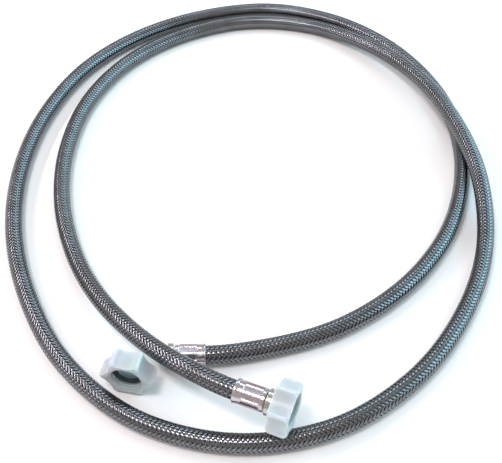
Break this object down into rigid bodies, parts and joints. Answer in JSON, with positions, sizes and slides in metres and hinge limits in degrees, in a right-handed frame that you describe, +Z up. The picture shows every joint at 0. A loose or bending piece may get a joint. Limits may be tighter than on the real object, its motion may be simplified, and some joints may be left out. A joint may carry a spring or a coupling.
{
  "type": "braided supply line",
  "caption": "Long braided flexible water hose lying in a loose double coil, with crimped metal ends, a free-turning plastic coupling nut on one end and a second nut lying loose beside it",
  "frame": {"origin": "under the middle of the coil, on the surface that it lies on", "axes": "+X to the right across the coil's narrow way, +Y away along its long way, +Z up; both ends of the hose are on the -Y side"},
  "size_m": [0.3489, 0.4534, 0.0442],
  "materials": {
    "braid": "woven stainless wire",
    "liner": "smooth",
    "ferrule": "bright, with crimp marks",
    "tailpiece": "nickel plated",
    "nut": "milky, slightly translucent",
    "washer": "matte"
  },
  "bodies": {
    "hose": {"hose_braid": "braid", "hose_liner": "liner", "ferrule_a": "ferrule", "ferrule_b": "ferrule", "tailpiece_a": "tailpiece", "tailpiece_b": "tailpiece"},
    "nut_a": {"nut_a": "nut", "washer_a": "washer"},
    "nut_b": {"nut_b": "nut", "washer_b": "washer"}
  },
  "joints": [
    {"name": "nut_a_spin", "type": "hinge", "parent": "hose", "child": "nut_a", "pos_m": [-0.005, -0.2, 0.028], "axis": [0.9304, -0.3665, 0], "continuous": true},
    {"name": "nut_b_lift", "type": "slide", "parent": "hose", "child": "nut_b", "axis": [0, 0, 1], "range_m": [0, 0.06]}
  ]
}
